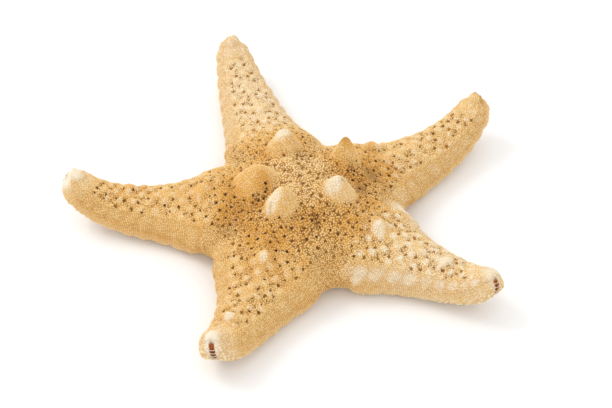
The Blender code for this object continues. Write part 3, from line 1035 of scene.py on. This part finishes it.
turns = np.linspace(0.0, 2.0 * math.pi, GRAIN_CORNERS, endpoint=False)
circle = np.stack((np.cos(turns), np.sin(turns)), 1)
bead = np.vstack((np.column_stack((circle, np.zeros(GRAIN_CORNERS))),
                  np.column_stack((circle * SHOULDER_WIDTH, np.full(GRAIN_CORNERS, SHOULDER_HEIGHT))),
                  (0.0, 0.0, 1.0)))
bead_faces = []
for k in range(GRAIN_CORNERS):
    n = (k + 1) % GRAIN_CORNERS
    low, low_next, high, high_next = k, n, GRAIN_CORNERS + k, GRAIN_CORNERS + n
    bead_faces += [(low, low_next, high_next), (low, high_next, high),
                   (high, high_next, 2 * GRAIN_CORNERS)]
bead_faces = np.array(bead_faces)

across, front = upright(grain_normals)
spin = random.random(len(grains)) * 2.0 * math.pi
right = across * np.cos(spin)[:, None] + front * np.sin(spin)[:, None]
ahead = np.cross(grain_normals, right)
spread = GRAIN_SPREAD + (SIDE_SPREAD - GRAIN_SPREAD) * over_skin(facts["side"], face, shares)
widths = gaps * spread * uneven(WIDTH_UNEVENNESS, len(grains))
heights = widths * GRAIN_HEIGHT * (HEIGHT_LEAST + HEIGHT_SWING * random.random(len(grains)))
heights *= 1.0 - FLATTENING * over_skin(facts["smooth"], face, shares)
tints = random.random(len(grains))

# Each bead has a square of its own on the piece's map
BEAD_ON_MAP = 0.44

for index, arm in enumerate(ARMS):
    mine = grain_arm == index
    size = widths[mine][:, None, None]
    tall = heights[mine][:, None, None]
    beads = (grains[mine][:, None, :]
             + size * (bead[None, :, 0:1] * right[mine][:, None, :]
                       + bead[None, :, 1:2] * ahead[mine][:, None, :])
             + tall * (bead[None, :, 2:3] * (1.0 + GRAIN_SINK) - GRAIN_SINK)
             * grain_normals[mine][:, None, :])
    count, corners = beads.shape[:2]
    faces = (np.arange(count)[:, None, None] * corners + bead_faces).reshape(-1, 3)
    layers = {name: np.repeat(values[mine], corners) for name, values in grain_facts.items()}
    layers["tint"] = np.repeat(tints[mine], corners)
    layers["low"] = np.tile(1.0 - bead[:, 2], count)
    grains_piece = piece_from(
        "granules_" + arm.name, beads.reshape(-1, 3) + offset, faces, layers, grain_finish)
    side = math.ceil(math.sqrt(count))
    cells = np.stack((np.arange(count) % side, np.arange(count) // side), 1)
    flat_bead = 0.5 + BEAD_ON_MAP * bead[:, :2]
    uvs = (cells[:, None, :] + flat_bead[None, :, :]).reshape(-1, 2) / side
    grid_map = grains_piece.data.uv_layers.new(name="OFBake")
    grid_map.uv.foreach_set("vector", uvs[faces.ravel()].astype(np.float32).ravel())


# The groove spines
# Blunt pegs in rows along both lips of each groove on the underside, where they closed over the
# tube feet. They are limy, and paler than the skin that they stand on.

# Each row's place out from the groove's middle, in parts of its half width, and its pegs' length
# and half width; then a peg's outline, as pairs of height and width
SPINE_ROWS = ((0.75, 1.15, 0.24), (1.25, 0.95, 0.30))
SPINE_RINGS = ((-0.25, 0.85), (0.35, 1.0), (0.8, 0.8), (1.0, 0.35))
SPINE_TOP = 1.08
SPINE_SIDES = 6
SPINE_PITCH = 0.95
SPINE_START = 3.8
SPINE_END = 0.5
GROOVE_REACH = 4.0
SPINE_SHRINK = 0.45
SPINE_DROOP = 0.3
SPINE_TILT = 0.3
SPINE_FOOT_SHADE_SHARE = 0.7
SPINE_ROUGHNESS = 0.8
SPINE_TEXTURE = 0.3
SPINE_TEXTURE_DEPTH = 0.04

spine_finish = Finish("groove_spines")
# Painted shade: each peg turns ochre towards its foot, where it meets the skin
spine_foot_shade = (1.0 - spine_finish.mark("up")) * SPINE_FOOT_SHADE_SHARE
spine_finish.end(
    spine_finish.blend(spine_foot_shade, PALE, OCHRE), SPINE_ROUGHNESS,
    spine_finish.mottle(SPINE_TEXTURE), SPINE_TEXTURE_DEPTH)

spine_points, spine_faces, spine_up = [], [], []
turns = np.linspace(0.0, 2.0 * math.pi, SPINE_SIDES, endpoint=False)


def add_spine(foot, lean, length, width):
    """A peg of rings that get narrower towards its closed top."""
    right, front = upright(lean[None, :])
    start = len(spine_points)
    for rise, ring_width in SPINE_RINGS:
        centre = foot + lean * rise * length
        for angle in turns:
            outwards = math.cos(angle) * right[0] + math.sin(angle) * front[0]
            spine_points.append(centre + width * ring_width * outwards)
            spine_up.append(min(max(rise, 0.0), 1.0))
    spine_points.append(foot + lean * SPINE_TOP * length)
    spine_up.append(1.0)
    last = start + (len(SPINE_RINGS) - 1) * SPINE_SIDES
    for low in range(start, last, SPINE_SIDES):
        high = low + SPINE_SIDES
        for k in range(SPINE_SIDES):
            n = (k + 1) % SPINE_SIDES
            spine_faces.extend(((low + k, low + n, high + n), (low + k, high + n, high + k)))
    for k in range(SPINE_SIDES):
        spine_faces.append((last + k, last + (k + 1) % SPINE_SIDES, last + SPINE_SIDES))


for arm in ARMS:
    line, *parts = centreline(arm)
    spin = turn_by(arm.heading)
    for row, (out, tall, wide) in enumerate(SPINE_ROWS):
        first_place = SPINE_START + row * SPINE_PITCH / 2.0
        for along in np.arange(first_place, arm.length - SPINE_END, SPINE_PITCH):
            shrink = 1.0 - SPINE_SHRINK * along / arm.length
            middle, sidewise, upward = (
                np.array([np.interp(along, line, part[:, axis]) for axis in range(3)]) @ spin
                for part in parts)
            for side in (-1.0, 1.0):
                below = middle + sidewise * side * groove_half(arm, along) * out - upward
                hit = tree.ray_cast(Vector(below), Vector(upward), GROOVE_REACH)[0]
                if hit is None:
                    continue
                lean = -side * sidewise - upward * SPINE_DROOP + SPINE_TILT * (random.random(3) - 0.5)
                lean /= np.linalg.norm(lean)
                add_spine(np.array(hit), lean, tall * shrink, wide * shrink)
spine_layers = {"up": np.array(spine_up)}
piece_from(
    "groove_spines", np.array(spine_points) + offset, np.array(spine_faces), spine_layers,
    spine_finish)


# The stage
# A white sheet under the star, soft daylight from all round, and a large soft lamp behind and to
# the left. The camera looks along +Y and down, from the photo's place.

# The floor's size is in metres, and it lies this many millimetres below the solid's sole
FLOOR_SIZE = 3.0
FLOOR_BELOW = 0.15
FLOOR_WHITE = (0.92, 0.92, 0.92, 1.0)
FLOOR_ROUGHNESS = 0.9
DAYLIGHT = 1.10
floor_mesh = bpy.data.meshes.new("floor")
reach = FLOOR_SIZE / 2.0
floor_mesh.from_pydata(
    [(-reach, -reach, 0.0), (reach, -reach, 0.0), (reach, reach, 0.0), (-reach, reach, 0.0)],
    [], [(0, 1, 2, 3)])
floor = bpy.data.objects.new("floor", floor_mesh)
bpy.context.scene.collection.objects.link(floor)
floor_finish = Finish("white_paper")
floor_finish.shader.inputs["Base Color"].default_value = FLOOR_WHITE
floor_finish.shader.inputs["Roughness"].default_value = FLOOR_ROUGHNESS
floor_finish.shader.inputs["Specular IOR Level"].default_value = 0.0
floor_mesh.materials.append(floor_finish.material)
floor.location.z = -FLOOR_BELOW * MM

world = bpy.data.worlds.new("daylight")
world.use_nodes = True
world.node_tree.nodes["Background"].inputs["Color"].default_value = (1.0, 1.0, 1.0, 1.0)
world.node_tree.nodes["Background"].inputs["Strength"].default_value = DAYLIGHT
bpy.context.scene.world = world
bpy.context.scene.view_settings.view_transform = "Standard"

# The lamp's power is in watts, and its size and place in metres
LAMP_POWER = 1.3
LAMP_SIZE = 0.30
LAMP_PLACE = (-0.42, 0.18, 0.55)
AIM_HEIGHT = 6.0

aim = Vector((*DISC_FROM_MIDDLE, AIM_HEIGHT)) * MM
light = bpy.data.lights.new("key", "AREA")
light.energy = LAMP_POWER
light.size = LAMP_SIZE
lamp = bpy.data.objects.new("key", light)
bpy.context.scene.collection.objects.link(lamp)
lamp.location = LAMP_PLACE
lamp.rotation_euler = (aim - Vector(LAMP_PLACE)).to_track_quat("-Z", "Y").to_euler()

# The elevation is in degrees, the distance and the near limit in metres, and the sensor's width
# in millimetres. The disc's middle falls on this column and row of the photo's frame.
CAMERA_ELEVATION = 48.75
CAMERA_DISTANCE = 0.46764
PIXELS_PER_METRE = 3700.0
FRAME_WIDTH = 612.0
FRAME_HEIGHT = 408.0
MIDDLE_COLUMN = 298.43
MIDDLE_ROW = 209.89
SENSOR = 36.0
NEAR_LIMIT = 0.01

camera = bpy.data.cameras.new("camera")
camera.sensor_width = SENSOR
camera.lens = PIXELS_PER_METRE * CAMERA_DISTANCE * SENSOR / FRAME_WIDTH
camera.shift_x = (FRAME_WIDTH / 2.0 - MIDDLE_COLUMN) / FRAME_WIDTH
camera.shift_y = (MIDDLE_ROW - FRAME_HEIGHT / 2.0) / FRAME_WIDTH
camera.clip_start = NEAR_LIMIT
viewer = bpy.data.objects.new("camera", camera)
bpy.context.scene.collection.objects.link(viewer)
tilt = math.radians(CAMERA_ELEVATION)
viewer.location = aim + CAMERA_DISTANCE * Vector((0.0, -math.cos(tilt), math.sin(tilt)))
viewer.rotation_euler = (math.radians(90.0) - tilt, 0.0, 0.0)
bpy.context.scene.camera = viewer
